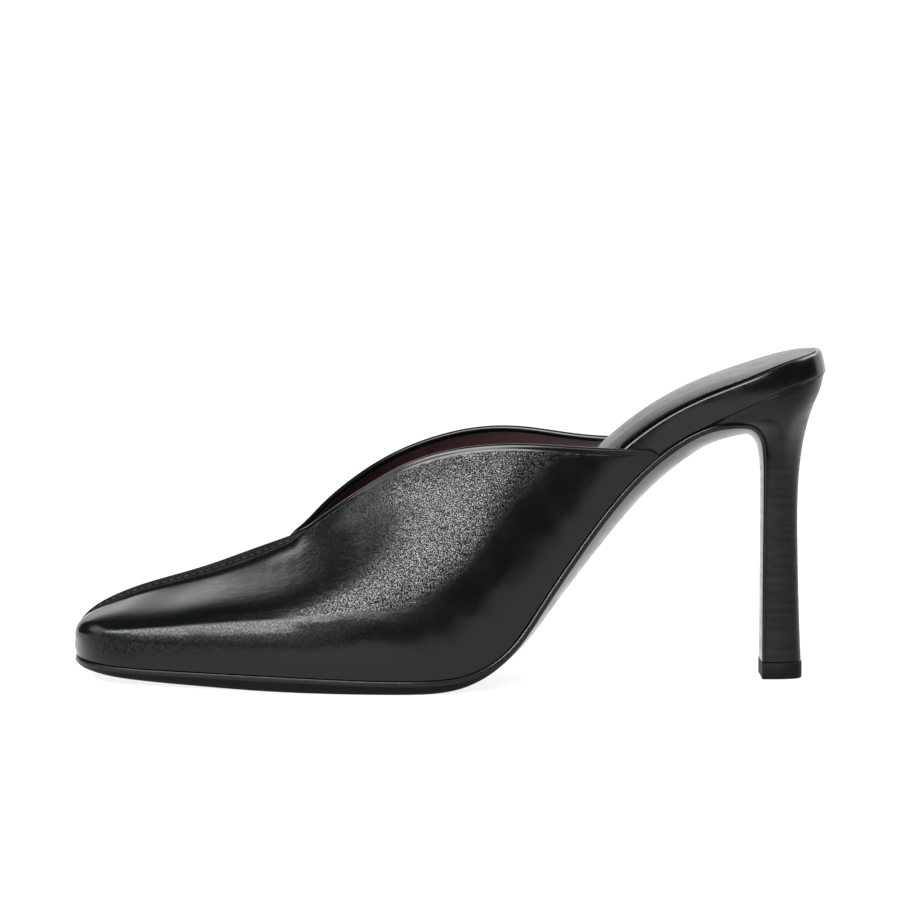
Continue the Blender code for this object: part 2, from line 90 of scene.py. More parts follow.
# %% The outline seen from above, and the feather line where the upper meets the sole
LAST_LENGTH = 226
TOE_ROUND = 16
SEAT_ROUND = 25
END_POWER = 2.3

OUTLINE = (
    ("along", "lateral", "medial"),
    (0, 17.0, 16.0),
    (12, 20.6, 18.9),
    (35, 28.0, 26.0),
    (60, 35.4, 32.6),
    (82, 39.8, 35.2),
    (98, 41.0, 34.2),
    (113, 38.9, 30.8),
    (131, 33.2, 24.6),
    (148, 27.6, 20.2),
    (165, 23.8, 19.2),
    (180, 23.2, 21.0),
    (196, 24.6, 24.2),
    (212, 25.2, 25.2),
    (226, 25.2, 25.2),
)
outline = read(OUTLINE)
FEATHER = (
    ("along", "height", "edge", "belly"),
    (0, 6.9, 2.5, 0.0),
    (12, 5.75, 3.1, 0.2),
    (35, 5.15, 4.0, 0.4),
    (60, 4.85, 4.5, 0.5),
    (85, 4.35, 4.15, 0.5),
    (100, 4.1, 3.9, 0.5),
    (110, 4.3, 3.8, 0.5),
    (117, 5.2, 3.3, 0.6),
    (124, 7.8, 2.5, 1.4),
    (131, 13.2, 1.9, 2.6),
    (139, 24.0, 1.7, 3.7),
    (149, 38.6, 1.7, 4.6),
    (160, 53.3, 1.7, 5.2),
    (170, 64.3, 1.7, 5.5),
    (180, 72.4, 1.7, 5.5),
    (190, 78.3, 1.7, 5.2),
    (205, 85.2, 1.7, 4.8),
    (216, 89.9, 1.7, 4.8),
    (226, 92.6, 1.7, 4.8),
)
feather = read(FEATHER)


def end_round(depth):
    """Width share left at this depth into a rounded end: 1 where it begins, 0 at its tip."""
    return np.maximum(1 - np.clip(depth, 0, 1) ** END_POWER, 0) ** (1 / END_POWER)


def half_width(side, along):
    """Half the last's width on one side, rounded off at the toe and the seat."""
    toe, seat = 1 - along / TOE_ROUND, (along - LAST_LENGTH + SEAT_ROUND) / SEAT_ROUND
    return outline[side](along) * end_round(toe) * end_round(seat)


BALL = 98.0
print("at the ball", round(float(half_width("lateral", BALL) + half_width("medial", BALL)), 1), "mm")

# %% Points and directions
def points(x, y, z):
    """Points from coordinates that may be arrays or single numbers."""
    return np.stack(np.broadcast_arrays(np.asarray(x, float), y, z), axis=-1)


def unit(vectors):
    return vectors / np.maximum(np.linalg.norm(vectors, axis=-1, keepdims=True), 1e-12)


def smooth_step(low, high, x):
    """0 before low and 1 after high, or the other way round if low is the larger."""
    share = np.clip((x - low) / (high - low), 0, 1)
    return share * share * (3 - 2 * share)


def feather_frame(along):
    """A point of the feather line in the XZ plane, and the normal that points up to the foot."""
    along = np.asarray(along, float)
    slope = (feather["height"](along + 0.1) - feather["height"](along - 0.1)) / 0.2
    return points(along, 0, feather["height"](along)), unit(points(-slope, 0, 1))


# %% Where the last's millimetres lie in the frame
LIFT_FRONT, LIFT_BACK, LIFT_HALF = 206.8, 219.2, 7.6
lift_low, lift_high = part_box("top_lift")
SHIFT = np.array([lift_high.x - LIFT_BACK * MM, (lift_low.y + lift_high.y) / 2, 0])


def place(spots):
    """From millimetres of the last to metres of the frame."""
    return np.asarray(spots) * MM + SHIFT


print("toe tip at x =", round(float(place((0, 0, 0))[0]), 4), "m")

# %% [markdown]
# ## Closed skins from patches
# Every piece is a few rectangular patches of points whose borders coincide. Merging the doubles sews
# them into one closed skin, a last hole is filled flat, and the faces are then turned outward.

# %% Sew patches into a piece
def in_scene(name, data):
    """A new object of the scene, made of this data."""
    made = bpy.data.objects.new(name, data)
    bpy.context.scene.collection.objects.link(made)
    return made


def sew(name, patches, materials, marks=None):
    """One object from point grids, each (grid, material index), in millimetres of the last."""
    spots, faces, kinds, count = [], [], [], 0
    for grid, kind in patches:
        index = np.arange(grid.shape[0] * grid.shape[1]).reshape(grid.shape[:2]) + count
        quads = np.stack((index[:-1, :-1], index[1:, :-1], index[1:, 1:], index[:-1, 1:]), axis=-1)
        faces.append(quads.reshape(-1, 4))
        kinds.append(np.full(len(faces[-1]), kind))
        spots.append(place(grid).reshape(-1, 3))
        count += index.size
    data = bpy.data.meshes.new(name)
    data.from_pydata(np.concatenate(spots).tolist(), [], np.concatenate(faces).tolist())
    data.polygons.foreach_set("material_index", np.concatenate(kinds).astype(np.int32))
    for mark, grids in (marks or {}).items():
        values = np.concatenate([grid.ravel() for grid in grids])
        attribute = data.attributes.new(mark, "FLOAT", "POINT")
        attribute.data.foreach_set("value", values.astype(np.float32))
    skin = bmesh.new()
    skin.from_mesh(data)
    bmesh.ops.remove_doubles(skin, verts=skin.verts, dist=0.002 * MM)
    bmesh.ops.dissolve_degenerate(skin, edges=skin.edges, dist=0.001 * MM)
    bmesh.ops.holes_fill(skin, edges=[edge for edge in skin.edges if edge.is_boundary], sides=0)
    bmesh.ops.recalc_face_normals(skin, faces=skin.faces)
    open_edges = sum(not edge.is_manifold for edge in skin.edges)
    skin.to_mesh(data)
    skin.free()
    data.shade_smooth()
    data.set_sharp_from_angle(angle=math.radians(50))
    for material in materials:
        data.materials.append(material)
    print(name, len(data.polygons), "faces,", open_edges, "open edges")
    return in_scene(name, data)


def settle(piece, node):
    """The piece stands for a CAD node, which is hidden, and rides with the root body."""
    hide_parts(node)
    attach(piece, "root")


# %% [markdown]
# ## Finishes
# Black leather shows almost no colour of its own: what the eye reads is the sheen, broken up by the
# grain. So each finish is a near-black base under a Principled gloss, and its character comes from
# bump and roughness patterns on Object coordinates, at the size the real grain has.

# %% Node helpers
def add(tree, kind, inputs=None, **settings):
    """A node with its settings, and inputs given as values or as sockets to link."""
    made = tree.nodes.new(kind)
    for name, value in settings.items():
        setattr(made, name, value)
    for name, value in (inputs or {}).items():
        if isinstance(value, bpy.types.NodeSocket):
            tree.links.new(value, made.inputs[name])
        else:
            made.inputs[name].default_value = value
    return made


def math_node(tree, operation, first, second=0.0):
    return add(tree, "ShaderNodeMath", {0: first, 1: second}, operation=operation).outputs[0]


def spread(tree, value, low, high, to_low, to_high):
    """Maps a value from one range to another, clamped."""
    inputs = {"Value": value, "From Min": low, "From Max": high, "To Min": to_low, "To Max": to_high}
    return add(tree, "ShaderNodeMapRange", inputs).outputs["Result"]


def object_space(tree, scale=(1, 1, 1), location=(0, 0, 0), rotation=(0, 0, 0)):
    """Object coordinates, moved, turned and stretched by a Mapping node."""
    inputs = {
        "Vector": add(tree, "ShaderNodeTexCoord").outputs["Object"],
        "Location": location,
        "Rotation": rotation,
        "Scale": scale,
    }
    return add(tree, "ShaderNodeMapping", inputs).outputs["Vector"]


def noise(tree, vector, size, detail=2.0):
    """Noise whose blobs are about this many millimetres across."""
    inputs = {"Vector": vector, "Scale": 1 / (size * MM), "Detail": detail}
    return add(tree, "ShaderNodeTexNoise", inputs).outputs["Fac"]


def finish(name, colour, **sockets):
    """A Principled material and its shader, with constants on the shader's own sockets."""
    material = bpy.data.materials.new(name)
    material.use_nodes = True
    shader = material.node_tree.nodes["Principled BSDF"]
    shader.inputs["Base Color"].default_value = (*colour, 1)
    for socket, value in sockets.items():
        shader.inputs[socket.replace("_", " ")].default_value = value
    return material, material.node_tree, shader


def feed(shader, **sources):
    """Links sources to the shader's sockets."""
    for socket, source in sources.items():
        shader.id_data.links.new(source, shader.inputs[socket.replace("_", " ")])


def bump(tree, height, millimetres, normal=None):
    """A Bump node that raises its pattern by this many millimetres."""
    inputs = {"Height": height, "Distance": millimetres * MM}
    if normal is not None:
        inputs["Normal"] = normal
    return add(tree, "ShaderNodeBump", inputs).outputs["Normal"]


# %% [markdown]
# ### Calf
# The upper is boxed calf: a fine pebble of about a third of a millimetre, calm where the leather is
# pulled hard over the toe, and drawn into short upright wrinkles along the toe's wall. Below the point
# of the throat it puckers in a little fan. The mesh carries a mark for each: "grain", "drawn" and
# "pucker" say how strongly it shows at every point.

# %% Where the throat's point lies
THROAT_POINT = (65.2, 0, 41.6)
apex = place(THROAT_POINT)
print("throat", [round(float(value), 4) for value in apex], "m")


def marked(tree, value, name):
    """A value, as strong at each point as the mesh's mark of this name says."""
    mark = add(tree, "ShaderNodeAttribute", attribute_name=name).outputs["Fac"]
    return math_node(tree, "MULTIPLY", value, mark)


def specks(tree, vector, size, low, high):
    """Specks about this many millimetres apart: high in the middle of each, low between them."""
    inputs = {"Vector": vector, "Scale": 1 / (size * MM), "Randomness": 0.85}
    to_middle = add(tree, "ShaderNodeTexVoronoi", inputs).outputs["Distance"]
    return spread(tree, to_middle, 0.12, 0.52, high, low)


def pebble(tree, vector, size, low, high):
    """Irregular pebble about this many millimetres across: small high tops on lower ground."""
    tops = spread(tree, noise(tree, vector, size, 1.0), 0.42, 0.6, 0, 1)
    return spread(tree, math_node(tree, "MULTIPLY", tops, tops), 0, 1, low, high)


def patchy(tree, space, size, low, high, detail=2.0):
    """Soft patches about this many millimetres across, from the low value to the high one."""
    return spread(tree, noise(tree, space, size, detail), 0.3, 0.7, low, high)


# %% Calf leather
PEBBLE, STREAK, UNEVEN, SLACK = 0.275, 0.31, 0.5, 1.8
SLACK_DEPTH, UNEVEN_DEPTH, RAISED_DEPTH, PUCKER_DEPTH = 0.1, 0.03, 0.016, 0.07
LOW, TOP = -0.6, 0.4
STREAK_LOW = -0.35
PUCKERS = 44
calf, tree, shader = finish("calf", (0.0012, 0.0018, 0.0016), IOR=1.48)
space = object_space(tree, scale=(1, 1, 0.85))
upright = object_space(tree, scale=(1, 1, 0.25))
slanted = object_space(tree, scale=(0.35, 1, 1), rotation=(0, math.radians(-28), 0))
pebbled = marked(tree, pebble(tree, space, PEBBLE, LOW, TOP), "grain")
streaked = marked(tree, specks(tree, upright, STREAK, STREAK_LOW, TOP), "drawn")
raised = math_node(tree, "ADD", pebbled, streaked)
loose = bump(tree, marked(tree, noise(tree, slanted, SLACK), "grain"), SLACK_DEPTH)
uneven = bump(tree, marked(tree, noise(tree, space, UNEVEN), "grain"), UNEVEN_DEPTH, loose)
grained = bump(tree, raised, RAISED_DEPTH, uneven)
to_apex = (-apex[0], -apex[2], apex[1])
fan = object_space(tree, location=to_apex, rotation=(-math.pi / 2, 0, 0))
angle = add(tree, "ShaderNodeTexGradient", {"Vector": fan}, gradient_type="RADIAL").outputs["Fac"]
wave = math_node(tree, "SINE", math_node(tree, "MULTIPLY", angle, PUCKERS * 2 * math.pi))
puckered = bump(tree, marked(tree, wave, "pucker"), PUCKER_DEPTH, grained)
# The grain's low ground and the gaps between the streaks reflect less than the tops: painted shade in
# the valleys, laid on the specular tint.
valley_shade_tint = spread(tree, raised, LOW, TOP, 0.03, 1.0)
feed(shader, Specular_Tint=valley_shade_tint, Normal=puckered, Roughness=patchy(tree, space, 6, 0.15, 0.21))

# %% Cut edges, lining, wrap, sock, sole, heel, rubber and thread
def textured(name, colour, ior, roughness, pores, sheen, stretch=(1, 1, 1)):
    """A finish with fine pores and a patchy sheen.

    The pores are (size, detail, depth), and the sheen is (patch size, least and greatest roughness).
    """
    material, tree, shader = finish(name, colour, Roughness=roughness, IOR=ior)
    space = object_space(tree, stretch)
    pore_size, detail, depth = pores
    pitted = bump(tree, noise(tree, space, pore_size, detail), depth)
    feed(shader, Normal=pitted, Roughness=patchy(tree, space, *sheen))
    return material


# Each look is what textured takes after the name: colour, IOR, roughness, pores, sheen and stretch.
SOLE_BLACK, STACK_BROWN = (0.0012, 0.0014, 0.0014), (0.0022, 0.0018, 0.0018)
DRAWN_OUT, LAYERED = (0.25, 0.25, 1), (0.12, 0.12, 1)
LOOKS = {
    "cut_edge": ((0.001,) * 3, 1.19, 0.6, (0.4, 3.0, 0.1), (3, 0.5, 0.7)),
    "lining_leather": ((0.010, 0.0028, 0.003), 1.28, 0.5, (0.5, 2.0, 0.04), (5, 0.42, 0.6)),
    "wrap_leather": ((0.0014, 0.002, 0.0018), 1.38, 0.2, (0.7, 3.0, 0.04), (4, 0.15, 0.25)),
    "sock_leather": ((0.0014, 0.0018, 0.0017), 1.28, 0.25, (0.9, 3.0, 0.035), (5, 0.22, 0.29)),
    "sole_dressing": (SOLE_BLACK, 1.36, 0.25, (0.5, 3.0, 0.03), (3, 0.22, 0.38), DRAWN_OUT),
    "sole_bevel": (SOLE_BLACK, 1.2, 0.5, (0.5, 3.0, 0.05), (3, 0.4, 0.6), DRAWN_OUT),
    "sole_bottom": (SOLE_BLACK, 1.45, 0.2, (0.6, 3.0, 0.02), (3, 0.14, 0.26), DRAWN_OUT),
    "stacked_leather": (STACK_BROWN, 1.35, 0.3, (0.6, 3.0, 0.03), (1.5, 0.26, 0.42), LAYERED),
    "lift_rubber": ((0.002,) * 3, 1.2, 0.55, (0.4, 2.0, 0.03), (2, 0.5, 0.65)),
}
finishes = {name: textured(name, *look) for name, look in LOOKS.items()}

tree = finishes["sock_leather"].node_tree
# The low ground between the pebble's tops reflects less than the tops: painted shade in the pores,
# laid on the specular tint.
pores = pebble(tree, object_space(tree), 0.4, 0.45, 1.0)
feed(tree.nodes["Principled BSDF"], Specular_Tint=pores)

tree = finishes["stacked_leather"].node_tree
layers = patchy(tree, object_space(tree, LAYERED), 1.1, 0.65, 1.0, 3.0)
feed(tree.nodes["Principled BSDF"], Specular_Tint=layers)

thread, tree, shader = finish("thread", (0.004,) * 3, Roughness=0.6, IOR=1.4)
twist = noise(tree, object_space(tree, (1, 0.3, 1)), 0.15)
feed(shader, Normal=bump(tree, twist, 0.03))
print("finishes", ["calf", *finishes, "thread"])

# %% [markdown]
# ## The upper
# The upper is a wall of leather pulled over the last. Each rib is one cubic curve from the feather
# line up to the centre seam, or, behind the throat, up to the collar. Its shape is set by how far it
# rises and leans at its foot, and how far it reaches and drops at its top.

# %% Seam, collar and rib tables
UPPER_REAR = 175
THROAT = 76
UPPER_INSET = 0.4
GAP = 0.3
TINY = 0.001
SOFT_STEP = 0.045
SOFT_REACH = (0.12, 0.24)
SOFT_FOOT = 0.35
SOFT_TOP = 0.86


def rib_place(foot):
    """0 at the toe and 1 at the upper's rear, spaced so that ribs crowd round the toe."""
    return math.sqrt(foot / UPPER_REAR)


SEAM = (
    ("foot", "along", "height", "ridge"),
    (0, 1.5, 14.2, 0.0),
    (2.2, 3.1, 16.9, 1.1),
    (8, 8.2, 21.1, 1.4),
    (22, 22.0, 27.0, 1.6),
    (42, 40.0, 31.8, 2.1),
    (60, 53.5, 36.3, 2.4),
    (76, 65.2, 41.6, 1.4),
)
seam = read(SEAM, rib_place)
COLLARS = {
    "lateral": (
        (76, 65.2, 0.0, 41.6),
        (87, 76.5, 9.9, 50.9),
        (98, 89.0, 17.4, 59.8),
        (112, 103.5, 23.4, 67.6),
        (126, 118.5, 26.2, 71.4),
        (142, 135.5, 26.6, 72.2),
        (158, 153.5, 25.2, 71.0),
        (175, 173.0, 23.5, 70.1),
    ),
    "medial": (
        (76, 65.2, 0.0, 41.6),
        (87, 75.5, 8.6, 52.6),
        (98, 88.5, 15.8, 62.0),
        (112, 103.5, 20.6, 68.9),
        (126, 118.5, 22.8, 72.7),
        (142, 135.5, 23.0, 73.2),
        (158, 153.5, 21.8, 70.9),
        (175, 173.0, 21.0, 70.1),
    ),
}
RIBS = {
    "lateral": (
        (0, 3.2, 2.2, 2.2, 60),
        (2.2, 6.0, 1.6, 6.5, 28),
        (8, 9.8, 2.8, 17.0, 9),
        (22, 14.9, 3.4, 23.2, 20),
        (42, 20.3, 3.3, 24.0, 25),
        (60, 24.3, 3.0, 25.7, 26.5),
        (76, 29.9, 2.1, 27.9, 38),
        (87, 32.4, 1.8, 30.9, 42),
        (98, 32.8, 2.2, 29.7, 50),
        (112, 30.7, 2.7, 26.8, 66),
        (126, 22.0, 3.0, 22.0, 69),
        (142, 14.0, 2.2, 14.0, 78),
        (158, 7.0, 1.0, 7.0, 84),
        (175, 0.9, 0.1, 0.9, 88),
    ),
    "medial": (
        (0, 3.2, 2.2, 2.2, 60),
        (2.2, 6.0, 1.6, 6.5, 28),
        (8, 9.8, 2.8, 16.0, 9),
        (22, 14.9, 3.4, 21.3, 20),
        (42, 20.3, 3.3, 22.0, 25),
        (60, 24.3, 3.0, 23.6, 25.5),
        (76, 29.5, 2.1, 25.4, 37),
        (87, 31.5, 1.8, 27.8, 41),
        (98, 31.0, 2.2, 26.4, 50),
        (112, 28.5, 2.7, 23.4, 68),
        (126, 21.0, 2.8, 21.5, 77),
        (142, 14.0, 2.0, 14.0, 86),
        (158, 7.0, 1.0, 7.0, 88),
        (175, 0.9, 0.1, 0.9, 88),
    ),
}


def by_side(names, tables):
    """Splines for the table of each side, over the places of its ribs."""
    return {side: read((names, *rows), rib_place) for side, rows in tables.items()}


collars = by_side(("foot", "along", "out", "height"), COLLARS)
rib_shapes = by_side(("foot", "rise", "lean", "reach", "drop"), RIBS)


# %% Ribs
def rib_top(side, t):
    """Where ribs end: on the seam before the throat, on the collar behind it."""
    on_seam = points(seam["along"](t), 0, seam["height"](t))
    collar = collars[side]
    on_collar = points(collar["along"](t), SIGN[side] * collar["out"](t), collar["height"](t))
    return np.where((t <= rib_place(THROAT))[:, None], on_seam, on_collar)


def plain_ribs(side, t, v):
    """Ribs of t along the shoe, at v up each one from the feather line to the seam or collar."""
    foot_along = UPPER_REAR * t * t
    spine, normal = feather_frame(foot_along)
    before, after = np.maximum(foot_along - TINY, 0), foot_along + TINY
    widening = (half_width(side, after) - half_width(side, before)) / (after - before)
    out = unit(points(-widening, SIGN[side], 0))
    out[t == 0] = (-1, 0, 0)
    foot = spine + points(0, SIGN[side] * half_width(side, foot_along), 0)
    foot += normal * GAP - out * UPPER_INSET
    top = rib_top(side, t)
    up = unit((top - foot) * (1, 0, 1))
    shape = {name: column(t)[:, None] for name, column in rib_shapes[side].items()}
    drop = np.radians(shape["drop"])
    first = foot + up * shape["rise"] + out * shape["lean"]
    last = top + (out * np.cos(drop) - up * np.sin(drop)) * shape["reach"]
    u, v = 1 - v[..., None], v[..., None]
    curve = u**3 * foot[:, None] + 3 * u * u * v * first[:, None]
    return curve + 3 * u * v * v * last[:, None] + v**3 * top[:, None]


def rib_points(side, t, v):
    """The last's surface: the ribs, with the throat's corner smoothed out between foot and top."""
    share = (1 - smooth_step(*SOFT_REACH, np.abs(t - rib_place(THROAT))))[:, None]
    share = (share * smooth_step(0, SOFT_FOOT, v) * (1 - smooth_step(SOFT_TOP, 1, v)))[..., None]
    steps = np.linspace(-2, 2, 9)
    weights = np.exp(-(steps**2) / 2)
    weights /= weights.sum()
    mean = sum(w * plain_ribs(side, t + step * SOFT_STEP, v) for w, step in zip(weights, steps))
    return plain_ribs(side, t, v) * (1 - share) + mean * share


def surface_normals(side, t, grid):
    """Outward normals of a grid of rib points, in the XZ plane where both sides meet."""
    across, along = np.gradient(grid, axis=1), np.gradient(grid, axis=0)
    normals = np.cross(across, along) * SIGN[side]
    normals[t == 0] *= (1, 0, 1)
    normals[t <= rib_place(THROAT), -1] *= (1, 0, 1)
    return unit(normals)


def ridge_up(t):
    """The direction in the XZ plane in which the seam's ridge stands up."""
    t = np.clip(t, 0.01, rib_place(THROAT))
    ahead = rib_top("lateral", t) - rib_top("lateral", t - 0.01)
    return unit(points(-ahead[:, 2], 0, ahead[:, 0]))


# %% [markdown]
# ### Ridge, folded edge and creases
# The two panels are joined edge to edge in a ridge that stands up along the middle of the toe, with a
# fine slit where the edges meet. Behind the throat the leather is folded over at the collar, and just
# below that fold it dips where it is glued down. Rows are packed close there to draw both.

# %% Rows up a rib
# The ridge's profile is (distance from the top, share of the ridge's height, millimetres added).
RIM = 2.5
BODY_ROWS = 46
RIDGE_FOOT_ROW = BODY_ROWS + 2
STITCHED_ROW = BODY_ROWS + 5
ROW_PACKING = ((0, 0.25, 0.65, 1), (0, 0.31, 0.5, 1))
RIDGE_PROFILE = (
    (2.1, 0, 0),
    (1.75, 0, 0),
    (1.52, 0.02, 0),
    (1.4, 0.1, 0),
    (1.33, 0.26, 0),
    (1.28, 0.5, 0),
    (1.24, 0.74, 0),
    (1.18, 0.9, 0),
    (1.06, 0.975, 0),
    (0.88, 1, 0),
    (0.55, 1, 0.03),
    (0.28, 1, -0.03),
    (0.12, 1, -0.2),
    (0, 1, -0.42),
)


def row_places(side, t, distances, body_rows):
    """v of every row: even shares up to the rim, then set distances from the top."""
    rim = np.maximum(1 - RIM / (3 * rib_shapes[side]["reach"](t)), 0.5)[:, None]
    body = np.interp(np.linspace(0, 1, body_rows), *ROW_PACKING)[None, :] * rim
    return np.concatenate((body, 1 - (1 - rim) * np.array(distances)[None, :] / RIM), axis=1)


throat = rib_place(THROAT)
front = np.concatenate((np.linspace(0, 0.6, 110)[:-1], np.linspace(0.6, throat, 31)))
behind = np.concatenate((np.linspace(throat, 0.72, 41)[1:], np.linspace(0.72, 1, 110)[1:]))
places = np.concatenate((front, behind))
print("ribs", len(places), "each side")


# %% How far every point lies from the collar
def nearest(grid, line):
    """Distance in millimetres from each point of a grid to the nearest point of a line."""
    return np.array([np.linalg.norm(row[:, None] - line[None], axis=-1).min(axis=1) for row in grid])


def collar_line(side):
    return rib_top(side, np.linspace(throat, 1, 400))


def ripple(grid, size):
    """A gentle pseudo-random swell from -1 to 1, waves about this many millimetres long."""
    x, y, z = np.moveaxis(grid, -1, 0) * 2 * math.pi / size
    first = np.sin(x + 0.7 * np.sin(0.61 * z + 1.3) + 0.4 * y)
    return first * np.sin(0.83 * z - 0.5 * y + 0.9 * np.sin(0.47 * x))


# %% Where the leather is drawn, grained or puckered
# Each line is its places along the shoe and its heights there.
CALM_LINE = (
    (0, 40, 75, 92, 104, 116, 122, 134, 145, 226),
    (12, 13, 15, 21, 26, 35, 42, 58, 69, 76),
)
WALL_EDGE = (
    (0, 2, 10, 22, 39, 54, 62, 70, 80, 90),
    (13, 14.1, 16, 17.5, 19.3, 20.7, 21.3, 21.8, 22.4, 24),
)
TOP_CALM = 0.85
PUCKER_REACH = 9


def above_line(smooth, line):
    """How many millimetres each point is above a line drawn along the upper's side."""
    return smooth[..., 2] - np.interp(smooth[..., 0], *line)


def leather_marks(t, v, smooth, to_collar):
    """How strongly wrinkles, grain and puckers show at every point, from 0 to 1."""
    ribs, below_edge = t[:, None], -above_line(smooth, WALL_EDGE)
    drawn = smooth_step(-2, 0.5, below_edge) * smooth_step(10, 5, below_edge)
    drawn *= smooth_step(0.82, 0.68, ribs)
    top_panel = smooth_step(0.36, 0.5, v) * smooth_step(0.66, 0.45, ribs)
    grain = (1 - TOP_CALM * top_panel) * smooth_step(-4, 3, above_line(smooth, CALM_LINE))
    grain *= smooth_step(0.1, 0.7, to_collar) * (1 - drawn)
    to_apex = np.linalg.norm(smooth - THROAT_POINT, axis=-1)
    pucker = smooth_step(PUCKER_REACH, 4, to_apex) * smooth_step(1, 2, to_apex)
    pucker *= smooth_step(0.5, 1.4, to_collar)
    return {"drawn": drawn, "grain": grain, "pucker": pucker}


# %% The leather's outer face
SKIN = 0.95
SEAM_GONE = 0.69
FOLD_DIP, FOLD_BELOW, FOLD_WIDTH = 0.03, 1.0, 0.4
BEAD = 0.03
SWELL, SWELL_LENGTH = 0.04, 17.0
EDGE_RISE, EDGE_WIDTH = 0.2, 0.85


def bead_radius(t):
    """The folded edge is two skins thick, and skived thin where it ends beside the footbed."""
    return 0.6 + 0.2 * smooth_step(throat, 0.74, t) - 0.4 * smooth_step(0.965, 1, t)


def outer_face(side, t):
    """Outer points, smooth last points, their normals and the leather's marks."""
    distances = [row[0] for row in RIDGE_PROFILE]
    v = row_places(side, t, distances, BODY_ROWS)
    smooth = rib_points(side, t, v)
    normals = surface_normals(side, t, smooth)
    to_collar = nearest(smooth, collar_line(side))
    fold = -FOLD_DIP * np.exp(-(((to_collar - FOLD_BELOW) / FOLD_WIDTH) ** 2))
    fold *= smooth_step(throat, SEAM_GONE, t)[:, None]
    swell = SWELL * ripple(smooth, SWELL_LENGTH) * smooth_step(0, 0.12, v)
    swell *= smooth_step(2, 8, to_collar) * smooth_step(1, 0.85, v)
    wall_edge = EDGE_RISE * np.exp(-((above_line(smooth, WALL_EDGE) / EDGE_WIDTH) ** 2) / 2)
    wall_edge *= smooth_step(0.74, 0.64, t)[:, None] * smooth_step(0.06, 0.2, t)[:, None]
    bead = BEAD * smooth_step(0.9, 0.4, to_collar)
    bead *= smooth_step(throat - 0.01, throat + 0.02, t)[:, None]
    outer = smooth + normals * (fold + swell + bead + wall_edge)[..., None]
    height = np.maximum(seam["ridge"](np.minimum(t, throat)), 0)
    height *= 1 - smooth_step(throat, SEAM_GONE, t)
    lift = np.zeros_like(v)
    for row, (_, share, extra) in enumerate(RIDGE_PROFILE, BODY_ROWS):
        lift[:, row] = height * share + extra * np.minimum(height, 1)
    outer += ridge_up(t)[:, None] * lift[..., None]
    return outer, smooth, normals, leather_marks(t, v, smooth, to_collar)


# %% Fold, lining side and rims
FOLD_STEPS = 9
BELOW_FOLD = -8


def folded_edge(side, t, outer, normals):
    """The collar's round fold, from the outer face over to the lining side."""
    edge, normal = outer[:, -1], normals[:, -1]
    along = unit(np.gradient(edge, axis=0))
    over = unit(np.cross(along, normal)) * SIGN[side]
    over *= np.sign(np.sum(over * (edge - outer[:, BELOW_FOLD]), axis=1))[:, None]
    over[0] = unit(over[0] * (1, 0, 1))
    turns = np.linspace(0, math.pi, FOLD_STEPS)[None, :, None]
    radius = bead_radius(t)[:, None]
    centre = edge - normal * radius
    ring = np.cos(turns) * normal[:, None] + np.sin(turns) * over[:, None]
    roll = centre[:, None] + ring * radius[:, None]
    roll[..., 1] = SIGN[side] * np.maximum(SIGN[side] * roll[..., 1], 0)
    return roll


ridge_walls, patches, marks = [], [], {"drawn": [], "grain": [], "pucker": []}
for side in SIGN:
    outer, smooth, normals, shown = outer_face(side, places)
    behind_throat = places >= throat
    roll = folded_edge(side, places[behind_throat], outer[behind_throat], normals[behind_throat])
    turned_in = 1 - smooth_step(0.8, 1.1, nearest(smooth, collar_line(side)))
    depth = SKIN + (2 * bead_radius(places)[:, None] - SKIN) * turned_in
    inner = smooth - normals * depth[..., None]
    inner[behind_throat, -1] = roll[:, -1]
    bottom = np.stack((outer[:, 0], inner[:, 0]), axis=1)
    on_seam = places <= throat
    ridge_walls.append(outer[on_seam, STITCHED_ROW])
    body = (outer[:, : RIDGE_FOOT_ROW + 1], 0)
    plain = [
        (outer[on_seam, RIDGE_FOOT_ROW:], 1),
        (outer[behind_throat, RIDGE_FOOT_ROW:], 0),
        (inner, 0),
        (roll, 0),
        (bottom, 0),
    ]
    patches += [body, *plain]
    for mark, grids in marks.items():
        grids.append(shown[mark][:, : RIDGE_FOOT_ROW + 1])
        grids += [np.zeros(grid.shape[:2]) for grid, _ in plain]
upper = sew("upper", patches, [calf, finishes["cut_edge"]], marks)
settle(upper, "upper")

# %% [markdown]
# ### Stitches
# The ridge is held by a row of black stitches that runs through both panels, and shows as a line of
# small dashes on each side. A stitch is one small oval, and Geometry Nodes lay it along the path at a
# set spacing, because that keeps every one square to the seam however it curves.

# %% Stitch row
STITCH_SPACING, STITCH_LENGTH, THREAD = 2.3, 1.5, 0.42
STITCHED_RIBS = slice(14, -3)


